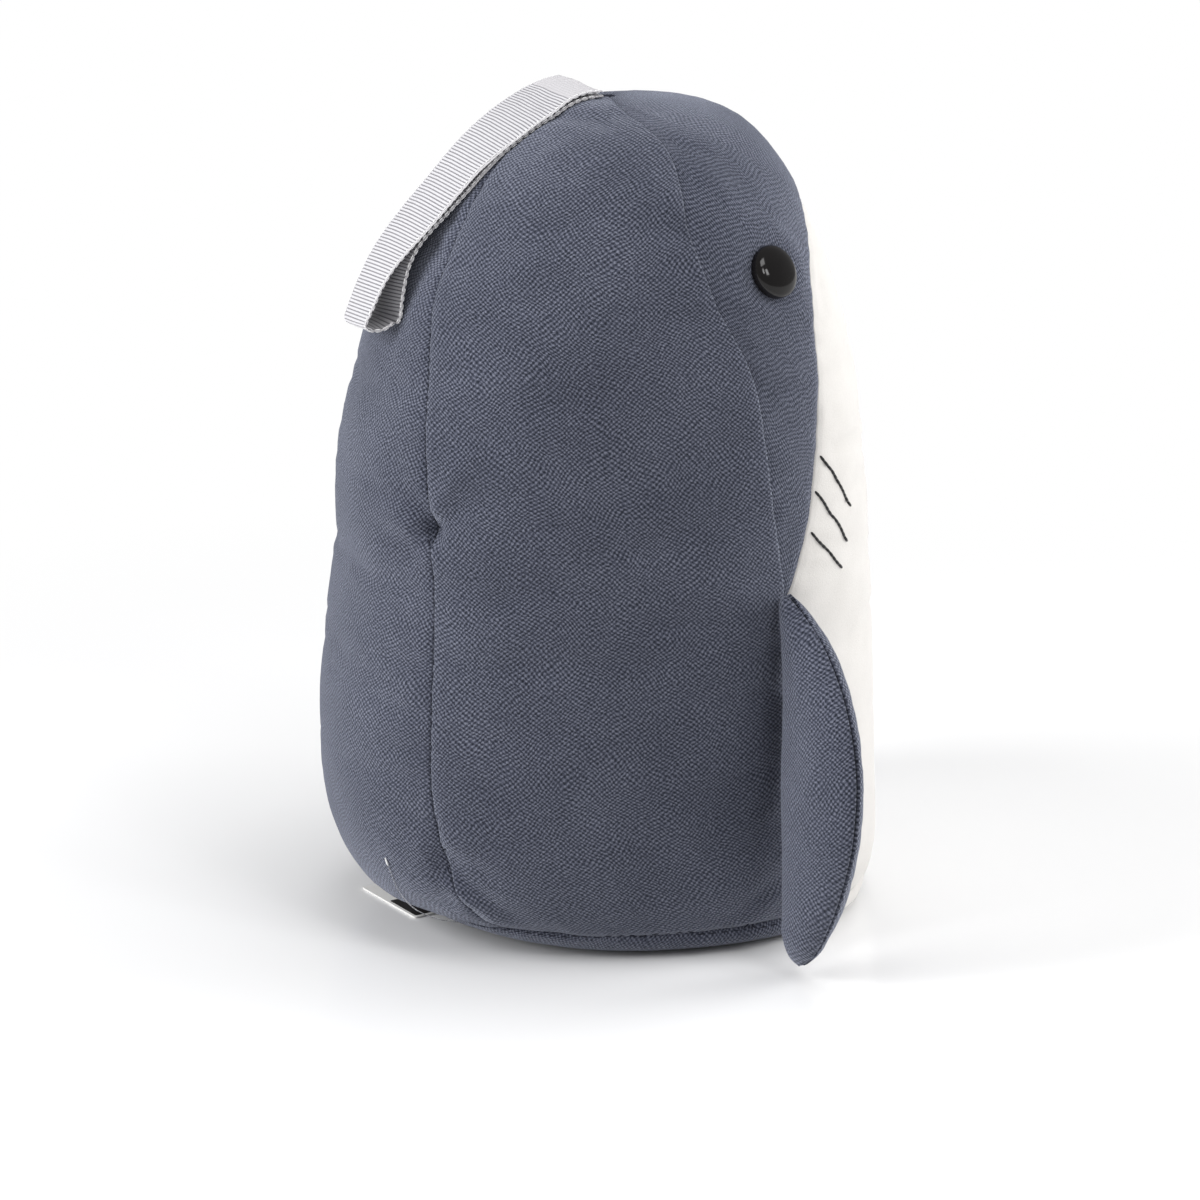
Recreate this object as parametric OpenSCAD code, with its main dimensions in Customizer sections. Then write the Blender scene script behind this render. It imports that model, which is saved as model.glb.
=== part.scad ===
// Upright weighted plush shark with a ribbon loop, in millimetres.
// +Z is up, the white belly faces -Y, the shark's right side is -X.
// The origin is on the floor, under the middle of the body.

/* [Body] */
// height of the stuffed body
body_h = 231; // [180:1:280]
// front to back, at the widest
body_d = 156; // [120:1:200]
// side to side, without the fins
body_w = 132; // [100:1:170]
// squareness of the plan section, 2 is an ellipse
plan_power = 2.35; // [2:0.05:3]

/* [Fabric] */
// thickness of the outer fabric with its backing
fabric_t = 1.6; // [0.8:0.1:3]
// depth of the valley along each seam
seam_dip = 1.1; // [0:0.1:2]
// half of the gap between two panels at a seam, in degrees round the body
seam_gap = 0.12; // [0.05:0.01:0.4]

/* [Weight] */
// height of the weight bag's top above the floor
weight_top = 36; // [20:1:70]

/* [Fins] */
// half thickness of a stuffed fin at its fattest
fin_fat = 6.2; // [4:0.1:10]
// chord scale of the fin
fin_chord = 1; // [0.8:0.01:1.2]

/* [Eyes] */
// safety eye radius
eye_r = 8; // [5:0.1:10]
// height of the dome over the fabric
eye_h = 5.6; // [3:0.1:8]
// stem radius
stem_r = 1.9; // [1:0.1:3]

/* [Stitches] */
// radius of the gill thread
thread_r = 0.6; // [0.3:0.05:1]

/* [Ribbon] */
// ribbon width
ribbon_w = 22; // [15:0.5:30]
// ribbon thickness
ribbon_t = 0.9; // [0.4:0.1:1.5]
// how far the loop stands open at its lower end
loop_gap = 6.5; // [3:0.1:12]

/* [Tag] */
// card length
tag_l = 29; // [20:1:50]
// card width
tag_w = 16; // [10:1:30]

/* [Hidden] */
$fn = 48;

blue = [0.22, 0.24, 0.29];
white = [0.9, 0.88, 0.85];
black = [0.03, 0.03, 0.03];
ribbon_c = [0.78, 0.77, 0.8];

// body stations: height, back reach, front reach, half width, y of the widest line
ST = [[0, 30, -70, 50, -12], [4, 49, -75.5, 58, -11], [12, 67, -77, 61.5, -9],
    [28, 76, -77.5, 65.5, -7], [55, 78.3, -76.7, 66, -4], [80, 76.3, -76, 65, -2],
    [105, 73, -75, 64, 0], [130, 72, -73.5, 62, 0], [155, 66.8, -70.3, 59, 0],
    [178, 59.5, -64.7, 54, -2], [198, 48, -57.5, 46, -4], [214, 34, -48, 35.5, -6],
    [226, 15.5, -32.5, 21, -7], [231, -3, -3, 0, -3]];
last = len(ST) - 1;
top_t = 12.97;

function cr(a, b, c, d, u) = 0.5 * (2 * b + (c - a) * u + (2 * a - 5 * b + 4 * c - d) * u * u
    + (3 * b - a - 3 * c + d) * u * u * u);
function over(p) = [p[0], p[2], p[1], -p[3], p[4]];
function station(i) = i < 0 ? 2 * ST[0] - ST[1] : i > last ? over(ST[last - 1]) : ST[i];
function level(t) = let (i = min(floor(t), last - 1))
    cr(station(i - 1), station(i), station(i + 1), station(i + 2), t - i);
function rounded(a) = sign(a) * pow(abs(a), 2 / plan_power);

// a point of the body: angle from the front towards the right side, station number
function skin(p, t) = let (s = level(t), c = rounded(cos(p)), q = rounded(sin(p)))
    [-s[3] * q * body_w / 132,
     (c > 0 ? s[4] + (s[2] - s[4]) * c : s[4] - (s[1] - s[4]) * c) * body_d / 156,
     s[0] * body_h / 231];
function unit(v) = v / norm(v);
function out(p, t) = unit(cross(skin(p, min(t + 0.03, 12.99)) - skin(p, t - 0.03),
    skin(p + 1, t) - skin(p - 1, t)));
function at(p, t, d) = skin(p, t) + d * out(p, t);

// piecewise linear path through a list of points
function along(L, k) = let (i = min(floor(k), len(L) - 2)) L[i] + (L[i + 1] - L[i]) * (k - i);
function flat(L) = [for (r = L) each r];

// closed shell between two grids of equal size
module shell(O, I) {
    nr = len(O);
    nc = len(O[0]);
    n = nr * nc;
    polyhedron(concat(flat(O), flat(I)), [
        for (i = [0 : nr - 2], j = [0 : nc - 2])
            let (a = i * nc + j, b = a + 1, c = b + nc, d = a + nc)
            each [[a, b, c], [a, c, d], [c + n, b + n, a + n], [d + n, c + n, a + n]],
        for (i = [0 : nr - 2])
            let (a = i * nc, d = a + nc, b = a + nc - 1, c = b + nc)
            each [[a, d, d + n], [a, d + n, a + n], [c, b, b + n], [c, b + n, c + n]],
        for (j = [0 : nc - 2])
            let (a = j, b = a + 1, d = (nr - 1) * nc + j, c = d + 1)
            each [[b, a, a + n], [b, a + n, b + n], [d, c, c + n], [d, c + n, d + n]]
    ], convexity = 6);
}

// solid stack of closed rings, from the bottom to the top
module stack(R) {
    nr = len(R);
    nc = len(R[0]);
    lo = nr * nc;
    mid = function(r) [for (k = [0 : 2]) [for (p = r) p[k]] * [for (p = r) 1] / len(r)];
    polyhedron(concat(flat(R), [mid(R[0]), mid(R[nr - 1])]), [
        for (i = [0 : nr - 2], j = [0 : nc - 1])
            let (a = i * nc + j, b = i * nc + (j + 1) % nc, c = b + nc, d = a + nc)
            each [[a, b, c], [a, c, d]],
        for (j = [0 : nc - 1])
            let (k = (j + 1) % nc)
            each [[j, lo, k], [lo - nc + j, lo - nc + k, lo + 1]]
    ], convexity = 4);
}

// cup of closed rings: outer and inner walls joined at the first ring
module cup(O, I) {
    nr = len(O);
    nc = len(O[0]);
    n = nr * nc;
    e = (nr - 1) * nc;
    mid = function(r) [for (k = [0 : 2]) [for (p = r) p[k]] * [for (p = r) 1] / len(r)];
    polyhedron(concat(flat(O), flat(I), [mid(O[nr - 1]), mid(I[nr - 1])]), [
        for (i = [0 : nr - 2], j = [0 : nc - 1])
            let (a = i * nc + j, b = i * nc + (j + 1) % nc, c = b + nc, d = a + nc)
            each [[c, b, a], [d, c, a], [a + n, b + n, c + n], [a + n, c + n, d + n]],
        for (j = [0 : nc - 1])
            let (k = (j + 1) % nc)
            each [[e + k, e + j, 2 * n], [e + j + n, e + k + n, 2 * n + 1],
                  [j, k, k + n], [j, k + n, j + n]]
    ], convexity = 4);
}

// panel between two border paths in (angle, station), with a valley along its seams
CROSS = [0, 0.03, 0.08, 0.16, 0.27, 0.385, 0.5, 0.615, 0.73, 0.84, 0.92, 0.97, 1];
function dip(x) = seam_dip * exp(-x * x / 16);
function panel_row(a, b, d, s) = let (w = norm(skin(a[0], a[1]) - skin(b[0], b[1])))
    [for (r = CROSS) let (q = a + (b - a) * r)
        at(q[0], q[1], d - max(dip(r * w), dip((1 - r) * w), s))];
module panel(A, B) {
    shell([for (i = [0 : len(A) - 1]) panel_row(A[i], B[i], 0, dip((A[i][1] - 1.5) * 7))],
        [for (i = [0 : len(A) - 1])
            panel_row(A[i], B[i], -fabric_t, dip((A[i][1] - 1.5) * 7))]);
}

// seam paths, as pairs of angle and station
SIDE_FRONT = [[61, 1.5], [62.3, 2.65], [62.8, 3.64], [62.4, 4.49], [62, 5.2], [61.8, 5.8],
    [63, 6.3], [64.5, 6.9], [65.3, 7.5], [67, 8.3], [75.5, 9.2], [80.5, 10.2],
    [82, 11.4], [95, 12.35], [98, top_t]];
SIDE_BACK = [[128, 1.5], [132, 2.65], [134.5, 3.64], [134.5, 4.49], [135, 5.2], [135.6, 5.8],
    [136.4, 6.3], [138, 6.9], [140.5, 7.5], [144.5, 8.3], [151.5, 9.2], [157.5, 10.2],
    [166, 11.4], [167, 12.35], [165, top_t]];
BELLY_EDGE = [[61, 5.8], [57.5, 6.2], [54, 6.6], [51.5, 7], [49, 7.39], [45.5, 7.95],
    [42.5, 8.7], [38, 9.2], [31, 9.64], [22, 9.93], [12, 10.12], [4, 10.2]];
HOOD_EDGE = [[61.8, 5.8], [63, 6.3], [64.5, 6.9], [65.3, 7.5], [67, 8.3], [72, 8.9],
    [78, 9.7], [81, 10.5], [82, 11.4], [95, 12.35], [98, top_t], [40, top_t]];
function shift(L, d) = [for (q = L) q + [d, 0]];
function steps(n, m) = [for (k = [0 : n * m]) k / m];

module side_panel() {
    k = steps(len(SIDE_FRONT) - 1, 2);
    panel(shift([for (x = k) along(SIDE_FRONT, x)], seam_gap),
        shift([for (x = k) along(SIDE_BACK, x)], -seam_gap));
}
module side_panel_right() color(blue) side_panel();
module side_panel_left() color(blue) mirror([1, 0, 0]) side_panel();

module back_panel() color(blue) {
    k = steps(len(SIDE_BACK) - 1, 2);
    right = shift([for (x = k) along(SIDE_BACK, x)], seam_gap);
    panel(right, [for (q = right) [360 - q[0], q[1]]]);
}

// hood round the belly, from the right fin root over the head to the left one
module face_panel() color(blue) {
    k = steps(len(HOOD_EDGE) - 1, 2);
    inner = shift([for (x = k) along(BELLY_EDGE, x)], seam_gap);
    outer = shift([for (x = k) along(HOOD_EDGE, x)], -seam_gap);
    n = len(k) - 1;
    other = function(L) [for (i = [n : -1 : 0]) [-L[i][0], L[i][1]]];
    panel(concat(inner, [[0, 10.2 + seam_gap / 8]], other(inner)),
        concat(outer, [[0, top_t]], other(outer)));
}

module belly_panel() color(white) {
    low = [for (x = steps(5, 2)) along(SIDE_FRONT, x)];
    top = [for (x = steps(len(BELLY_EDGE) - 1, 2)) along(BELLY_EDGE, x)];
    edge = concat([for (i = [0 : len(low) - 2]) low[i]], top);
    panel([for (q = edge) [-q[0] + seam_gap, q[1] - (q[1] > 10.1 ? 0.03 : 0)]],
        [for (q = edge) [q[0] - seam_gap, q[1] - (q[1] > 10.1 ? 0.03 : 0)]]);
}

// flat base, turned up round the bottom edge to the base seam
function ring(t, d) = [for (p = [0 : 6 : 354]) at(p, t, d)];
function floor_ring(k, z) = [for (q = ring(0.02, 0))
    [q[0] * k, -20 + (q[1] + 20) * k, z]];
module base_panel() color(blue) {
    cup([ring(1.47, -seam_dip), ring(1.3, -0.7), ring(1, -0.25), ring(0.5, 0), ring(0.12, 0),
            floor_ring(0.97, 0), floor_ring(0.5, 0)],
        [ring(1.47, -seam_dip - fabric_t), ring(1.3, -0.7 - fabric_t),
            ring(1, -0.25 - fabric_t), ring(0.62, -fabric_t), ring(0.4, -fabric_t),
            floor_ring(0.9, fabric_t), floor_ring(0.5, fabric_t)]);
}

// stuffing: fibre over a bag of grain
inside = -fabric_t - seam_dip - 0.7;
function cut_t(z) = [for (t = [0.3 : 0.02 : 12]) if (level(t)[0] * body_h / 231 >= z) t][0];
module fibre_filling() color([0.95, 0.95, 0.93]) {
    low = cut_t(weight_top + 3);
    stack([for (i = [0 : 16]) let (t = low + (12.8 - low) * i / 16)
        [for (p = [0 : 9 : 351]) at(p, t, inside)]]);
}
module weight_bag() color([0.72, 0.68, 0.6]) {
    hi = cut_t(weight_top);
    T = [hi, hi * 0.75, hi * 0.5, 1.2, 0.9];
    cup([for (t = T) [for (p = [0 : 9 : 351]) at(p, t, inside)]],
        [for (t = T) [for (p = [0 : 9 : 351]) at(p, t, inside - 1)
            + [0, 0, t == 0.9 ? 1 : 0]]]);
    z = skin(90, hi)[2];
    translate([0, 0, z - 2]) linear_extrude(0.9)
        polygon([for (p = [0 : 9 : 351]) let (q = at(p, hi, inside - 2)) [q[0], q[1]]]);
}
module weight_fill() color([0.6, 0.5, 0.36]) {
    hi = cut_t(weight_top);
    stack([for (t = [1, 1.3, hi * 0.5, hi * 0.75, hi - 0.12])
        [for (p = [0 : 9 : 351]) at(p, t, inside - 1.5) + [0, 0, t == 1 ? 1.2 : 0]]]);
}

// fin: a leaf in its own plane, root edge on the body's seam
FIN_O = [-59.2, -41.6, 99];
FIN_V = [-0.201, 0.0203, -0.9794];
FIN_S = [-0.945, -0.2675, 0.1883];
FIN_N = [-0.2581, 0.9634, 0.0729];
FIN_IN = [[-0.9, -2.4], [-1, 6], [-2.2, 15], [-3.8, 26], [-5.4, 38], [-6.6, 49], [-7, 60],
    [-6.6, 71], [-6, 81], [-5.4, 89], [-3.2, 95.4]];
FIN_OUT = [[3, -3.8], [9.6, 3], [18.2, 11.5], [25.6, 22.5], [30, 34], [31.4, 46],
    [29, 60], [23.6, 72], [16, 83.5], [7.6, 92.5], [0.4, 97]];
CHORD = [-1, -0.96, -0.85, -0.65, -0.35, 0, 0.35, 0.65, 0.85, 0.96, 1];
function fat(u) = pow(max(0, 1 - pow(abs(2 * u - 1), 2.6)), 0.62);
function lens(w) = pow(max(0, 1 - pow(abs(w), 2.3)), 0.62);
function leaf(u, w, h) = let (a = along(FIN_IN, 10 * u), b = along(FIN_OUT, 10 * u),
        q = (a + b) / 2 + (b - a) / 2 * w)
    FIN_O + FIN_S * q[0] * (q[0] > 0 ? fin_chord : 1) + FIN_V * q[1]
    + FIN_N * (h + 3.6 * exp(-max(q[1] + 4, 0) / 8));
function fin_grid(h, du, dw, lift) = [for (i = [0 : 20]) let (u = du + (1 - 2 * du) * i / 20,
        c = norm(along(FIN_OUT, 10 * u) - along(FIN_IN, 10 * u)))
    [for (w = CHORD) leaf(u, w * (1 - 2 * dw / max(c, 4 * dw)),
        sign(h) * (max(0, abs(h) * fat(u) - lift) * lens(w) * (i == 0 || i == 20 ? 0 : 1)))]];
module fin_side(s)
    shell(fin_grid(s * fin_fat, 0.03, 1.3, 1.2), fin_grid(s * fin_fat, 0, 0, 0));
module fin_core() {
    g = function(s) [for (r = fin_grid(s * fin_fat, 0.045, 1.9, 1.5))
        [for (q = r) q + FIN_N * s * 0.12]];
    shell(g(-1), g(1));
}
module fin_right_rear() color(blue) translate(FIN_N * 0.05) fin_side(1);
module fin_right_front() color(blue) translate(-FIN_N * 0.05) fin_side(-1);
module fin_right_filling() color([0.95, 0.95, 0.93]) fin_core();
module fin_left_rear() mirror([1, 0, 0]) fin_right_rear();
module fin_left_front() mirror([1, 0, 0]) fin_right_front();
module fin_left_filling() mirror([1, 0, 0]) fin_right_filling();

// safety eyes: dome on a flange, stem through the fabric, washer inside
EYE = skin(55.8, 9.5);
EYE_N = unit(out(55.8, 9.5) + [0, -0.09, 0.12]);
module on_face() translate(EYE) rotate([0, acos(EYE_N[2]), atan2(EYE_N[1], EYE_N[0])])
    children();
module eye() on_face() {
    rotate_extrude() polygon(concat([[0, -9], [stem_r, -9], [stem_r, 0.1], [eye_r - 0.3, 0.1],
        [eye_r, 0.4], [eye_r, 0.9]],
        [for (a = [0 : 6 : 90]) [(eye_r - 0.3) * cos(a), 1.1 + (eye_h - 1.1) * sin(a)]]));
}
module washer() on_face() translate([0, 0, -4.7]) difference() {
    cylinder(r = 6.5, h = 1.4);
    translate([0, 0, -1]) cylinder(r = stem_r + 0.08, h = 4);
}
module eye_right() color(black) eye();
module eye_left() color(black) mirror([1, 0, 0]) eye();
module eye_washer_right() color([0.85, 0.85, 0.85]) washer();
module eye_washer_left() color([0.85, 0.85, 0.85]) mirror([1, 0, 0]) washer();

// gill lines: three threads half sunk in the belly fabric on each side
module thread(a, b) {
    P = [for (k = [0 : 8]) at(a[0] + (b[0] - a[0]) * k / 8, a[1] + (b[1] - a[1]) * k / 8, 0)];
    dir = unit(P[8] - P[0]);
    n = out((a[0] + b[0]) / 2, (a[1] + b[1]) / 2);
    s = unit(cross(dir, n));
    stack([for (q = P) [for (v = [0 : 45 : 315])
        q + thread_r * (n * sin(v) + s * cos(v))]]);
}
module gills() {
    thread([48.2, 7.33], [35.5, 6.61]);
    thread([51, 6.95], [38.5, 6.28]);
    thread([53.2, 6.52], [41, 5.97]);
}
module gill_stitches_right() color(black) gills();
module gill_stitches_left() color(black) mirror([1, 0, 0]) gills();

// ribbon: both ends sewn in at the crown, the loop lying down the back
HINGE = [6, 2.6, 232.1];
RIB = [[3.2, 231.1], [8, 230.4], [13, 228.9], [18, 226.7], [23, 224.1], [28, 220.9], [33, 217.1],
    [38, 212.7], [42.5, 207.9], [46.8, 202.4], [50.8, 196.4], [54.6, 190], [57.9, 183.5],
    [60.9, 176.6], [62, 173.6]];
function rib_n(i) = let (a = RIB[max(i - 1, 0)], b = RIB[min(i + 1, 14)])
    unit([b[1] - a[1], a[0] - b[0]]) * -1;
function gap_at(k) = 0.25 + loop_gap * pow(k / 14, 4);
function mid_x(y) = 6 - 16.5 * min(1, max(0, (y - 2.6) / 62));
function skew(y) = 23 * (1 - min(1, max(0, (y - 2.6) / 62)));
// centre line of the cloth: under strand upwards, over strand downwards, fold between
under = [for (i = [0 : 14]) RIB[i] + rib_n(i) * (0.5 + ribbon_t / 2)];
above = [for (i = [0 : 14]) RIB[i] + rib_n(i) * (0.5 + ribbon_t * 1.5 + gap_at(i))];
fold_c = (under[14] + above[14]) / 2;
fold_r = norm(above[14] - under[14]) / 2;
fold_a = atan2(above[14][1] - under[14][1], above[14][0] - under[14][0]);
fold = [for (a = [-30 : -30 : -150]) fold_c + fold_r * [cos(fold_a + a), sin(fold_a + a)]];
strip = concat(above, fold, [for (i = [14 : -1 : 0]) under[i]]);
function strip_n(i) = let (a = strip[max(i - 1, 0)], b = strip[min(i + 1, len(strip) - 1)])
    unit([b[1] - a[1], a[0] - b[0]]) * -1;
function rib_row(i, h) = let (q = strip[i] + strip_n(i) * h, s = skew(strip[i][0]),
        x = mid_x(strip[i][0]))
    [for (w = [-1, 1]) [x + w * cos(s) * ribbon_w / 2, q[0] + w * sin(s) * ribbon_w / 2, q[1]]];
module ribbon_loop() color(ribbon_c)
    shell([for (i = [0 : len(strip) - 1]) rib_row(i, ribbon_t / 2)],
        [for (i = [0 : len(strip) - 1]) rib_row(i, -ribbon_t / 2)]);

// closing stitch where the panels meet at the crown
module crown_tack() color(blue) translate([0, -3, 230.2]) {
    cylinder(r1 = 0.45, r2 = 0.45, h = 1);
    translate([0, 0, 0.95]) cylinder(r1 = 2, r2 = 1.2, h = 0.6);
}

// swing tag: bar and filament on the back panel, blank card on the floor
PIN = skin(150.5, 2.93);
PIN_N = out(150.5, 2.93);
EYELET = [-4.9, 45.7, 0.5];
module bead(a, b, r) hull() {
    translate(a) sphere(r, $fn = 10);
    translate(b) sphere(r, $fn = 10);
}
module thin(P, r) for (i = [0 : len(P) - 2]) bead(P[i], P[i + 1], r);
module tag_pin() color([0.93, 0.93, 0.93]) {
    p = PIN + PIN_N * 0.7;
    path = [PIN - PIN_N * 2, p, at(151, 2.4, 0.6), at(152, 1.9, 0.6), at(153.5, 1.45, 0.6),
        at(156, 1.05, 0.7), [-21.5, 46.8, 2.3], [-15, 47, 1.5], [-9, 46.4, 1.15],
        EYELET + [0, 0, 0.6], EYELET];
    bead(p + [0, 0.4, 1.1], p - [0, 0.4, 1.1], 0.4);
    thin(path, 0.3);
}
module tag_card() color([0.95, 0.95, 0.94]) translate([-13, 55.4, 0.05])
    rotate(21.6) difference() {
        translate([0, -tag_w, 0]) cube([tag_l, tag_w, 0.5]);
        translate([4, -12, -1]) cylinder(r = 1.2, h = 3);
    }

side_panel_right();
side_panel_left();
back_panel();
face_panel();
belly_panel();
base_panel();
fibre_filling();
weight_bag();
weight_fill();
fin_right_rear();
fin_right_front();
fin_right_filling();
fin_left_rear();
fin_left_front();
fin_left_filling();
eye_right();
eye_left();
eye_washer_right();
eye_washer_left();
gill_stitches_right();
gill_stitches_left();
ribbon_loop();
crown_tack();
tag_pin();
tag_card();
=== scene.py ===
"""Upright weighted plush shark: soft panels, puffed fins, ribbon loop, eyes and trim."""
import math

import bmesh
import bpy
import numpy as np
from mathutils import Matrix, Vector, bvhtree, kdtree, noise


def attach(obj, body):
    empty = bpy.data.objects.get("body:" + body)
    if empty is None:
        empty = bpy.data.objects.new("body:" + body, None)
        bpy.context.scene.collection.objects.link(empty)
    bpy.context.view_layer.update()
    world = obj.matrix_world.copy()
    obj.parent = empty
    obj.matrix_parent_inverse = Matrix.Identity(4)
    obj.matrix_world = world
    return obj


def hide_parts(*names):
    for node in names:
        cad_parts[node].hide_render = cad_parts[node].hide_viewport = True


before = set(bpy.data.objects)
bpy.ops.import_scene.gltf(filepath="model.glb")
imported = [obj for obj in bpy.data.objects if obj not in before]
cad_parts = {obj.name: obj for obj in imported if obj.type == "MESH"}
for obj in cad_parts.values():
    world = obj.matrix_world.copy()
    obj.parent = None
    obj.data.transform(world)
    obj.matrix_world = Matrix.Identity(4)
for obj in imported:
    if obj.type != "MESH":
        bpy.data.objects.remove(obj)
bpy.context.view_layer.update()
MM = 0.001

# ---------------------------------------------------------------- camera
TARGET = Vector((0, 0, 0.112))
CAM_TURN, CAM_RISE, CAM_DIST = math.radians(-102), math.radians(16), 1.3
cam_back = Vector((math.sin(CAM_TURN) * math.cos(CAM_RISE),
                   -math.cos(CAM_TURN) * math.cos(CAM_RISE), math.sin(CAM_RISE)))
cam = bpy.data.objects.new("camera", bpy.data.cameras.new("camera"))
bpy.context.scene.collection.objects.link(cam)
cam.location = TARGET + cam_back * CAM_DIST
cam.rotation_euler = cam_back.to_track_quat("Z", "Y").to_euler()
cam.data.sensor_width = 36
cam.data.lens = 139.6
cam.data.shift_x, cam.data.shift_y = 0.0017, -0.0733
bpy.context.scene.camera = cam


# ---------------------------------------------------------------- body surface, as in the CAD
STATIONS = np.array([
    [0, 30, -70, 50, -12], [4, 49, -75.5, 58, -11], [12, 67, -77, 61.5, -9],
    [28, 76, -77.5, 65.5, -7], [55, 78.3, -76.7, 66, -4], [80, 76.3, -76, 65, -2],
    [105, 73, -75, 64, 0], [130, 72, -73.5, 62, 0], [155, 66.8, -70.3, 59, 0],
    [178, 59.5, -64.7, 54, -2], [198, 48, -57.5, 46, -4], [214, 34, -48, 35.5, -6],
    [226, 15.5, -32.5, 21, -7], [231, -3, -3, 0, -3]], float)
PLAN_POWER = 2.35
TOP = 12.985


def cubic(s, i, u):
    """Catmull-Rom value between rows i + 1 and i + 2 of s."""
    a, b, c, d = s[i], s[i + 1], s[i + 2], s[i + 3]
    return 0.5 * (2 * b + (c - a) * u + (2 * a - 5 * b + 4 * c - d) * u ** 2
                  + (3 * b - a - 3 * c + d) * u ** 3)


def soft_path(k, x):
    """Smooth curve through the control points k, at x from 0 to 1."""
    s = np.vstack([2 * k[0] - k[1], k, 2 * k[-1] - k[-2]])
    x = np.clip(x, 0, 1) * (len(k) - 1)
    i = np.minimum(x.astype(int), len(k) - 2)
    return cubic(s, i, (x - i)[..., None])


def level(t):
    """Height, back and front reach, half width and middle of the body at station t."""
    over = STATIONS[-2][[0, 2, 1, 3, 4]] * [1, 1, 1, -1, 1]
    s = np.vstack([2 * STATIONS[0] - STATIONS[1], STATIONS, over])
    i = np.clip(np.floor(t).astype(int), 0, len(STATIONS) - 2)
    return cubic(s, i, (t - i)[..., None])


def skin(p, t):
    """Points in mm for angles p from the front towards the right side, at stations t."""
    p, t = np.broadcast_arrays(np.radians(p), np.asarray(t, float))
    z, back, front, half, mid = np.moveaxis(level(t), -1, 0)
    c, q = np.cos(p), np.sin(p)
    c = np.sign(c) * np.abs(c) ** (2 / PLAN_POWER)
    q = np.sign(q) * np.abs(q) ** (2 / PLAN_POWER)
    y = np.where(c > 0, mid + (front - mid) * c, mid - (back - mid) * c)
    return np.stack([-half * q, y, z], -1)


def unit(v):
    return v / np.maximum(np.linalg.norm(v, axis=-1, keepdims=True), 1e-12)


def out(p, t):
    p, t = np.asarray(p, float), np.asarray(t, float)
    return unit(np.cross(skin(p, np.minimum(t + 0.03, 12.99)) - skin(p, t - 0.03),
                         skin(p + 1, t) - skin(p - 1, t)))


def spline(points, n):
    """n + 1 points evenly along a smooth path through (angle, station) points."""
    q = soft_path(np.asarray(points, float), np.linspace(0, 1, 40 * len(points)))
    q[:, 1] = np.minimum(q[:, 1], TOP)
    place = skin(q[:, 0], q[:, 1])
    run = np.concatenate([[0], np.cumsum(np.linalg.norm(np.diff(place, axis=0), axis=1))])
    want = np.linspace(0, run[-1], n + 1)
    return np.stack([np.interp(want, run, q[:, 0]), np.interp(want, run, q[:, 1])], -1)


# ---------------------------------------------------------------- the swing tag's filament
PIN = skin(150.5, 2.93) + 0.7 * out(150.5, 2.93)
down = np.array([[151, 2.4], [152, 1.9], [153.5, 1.45], [156, 1.05]])
FILAMENT = np.vstack([PIN, skin(*down.T) + 0.7 * out(*down.T),
                      [[-21.5, 46.8, 2.2], [-15, 47, 1.5], [-9, 46.4, 1.1], [-5.4, 45.8, 0.9]]])
route = soft_path(FILAMENT, np.linspace(0, 1, 32))
cord_line = bpy.data.curves.new("tag_filament", "CURVE")
cord_line.dimensions, cord_line.bevel_depth, cord_line.bevel_resolution = "3D", 1.0, 3
cord_line.use_fill_caps = True
poly = cord_line.splines.new("POLY")
poly.points.add(len(route) - 1)
for q, place in zip(poly.points, route):
    q.co, q.radius = (*(place * MM), 1), 0.16 * MM
filament = bpy.data.objects.new("tag_filament", cord_line)
bpy.context.scene.collection.objects.link(filament)
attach(filament, "body")


# ---------------------------------------------------------------- seams and panel grids
# seams, as (angle, station), from the CAD: the base, the fin root and the crown join them
BASE_T = 1.5
ROOT = [61.8, 5.8]
SIDE_LOW = [[61, BASE_T], [62.3, 2.65], [62.8, 3.64], [62.4, 4.49], [62, 5.2], ROOT]
SIDE_FACE = [ROOT, [63, 6.3], [64.5, 6.9], [65.3, 7.5], [67, 8.3], [75, 9.2], [80.5, 10.2],
             [82, 11.4], [92, 12.35], [98, TOP]]
BACK_SEAM = [[128, BASE_T], [132, 2.65], [134.5, 3.64], [134.5, 4.49], [135, 5.2], [135.6, 5.8],
             [136.4, 6.3], [138, 6.9], [140.5, 7.5], [144.5, 8.3], [150.5, 9.2], [156, 10.2],
             [162, 11.4], [164, 12.35], [165, TOP]]
BELLY_TOP = [ROOT, [57.5, 6.2], [54, 6.6], [51.5, 7], [49, 7.39], [45.5, 7.95], [42.5, 8.7],
             [38, 9.2], [31, 9.64], [22, 9.93], [12, 10.12], [0, 10.2]]
N_LOW, N_FACE, N_CROWN = 40, 64, 8
seam_low = spline(SIDE_LOW, N_LOW)
seam_face = spline(SIDE_FACE, N_FACE)
seam_back = spline(BACK_SEAM, N_LOW + N_FACE)
seam_belly = spline(BELLY_TOP, N_FACE + N_CROWN)
crown = np.stack([np.linspace(98, 0, N_CROWN + 1), np.full(N_CROWN + 1, TOP)], -1)


def across(a, b, n):
    """Grid of (angle, station) from border a to border b, finer near both seams."""
    s = np.linspace(0, 1, n + 1)
    r = (s - 0.1 * np.sin(2 * np.pi * s))[None, :, None]
    return a[:, None] * (1 - r) + b[:, None] * r


def flip(path):
    return path * [-1, 1]


side_front = np.vstack([seam_low, seam_face[1:]])
belly_edge = np.vstack([seam_low, seam_belly[1:]])
hood_half = np.vstack([seam_face, crown[1:]])
GRIDS = {
    "side_panel_right": across(side_front, seam_back, 44),
    "side_panel_left": across(flip(seam_back), flip(side_front), 44),
    "back_panel": across(seam_back, [360, 0] + flip(seam_back), 44),
    "belly_panel": across(flip(belly_edge), belly_edge, 52),
    "face_panel": across(np.vstack([seam_belly, flip(seam_belly)[-2::-1]]),
                         np.vstack([hood_half, flip(hood_half)[-2::-1]]), 20),
}


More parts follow.
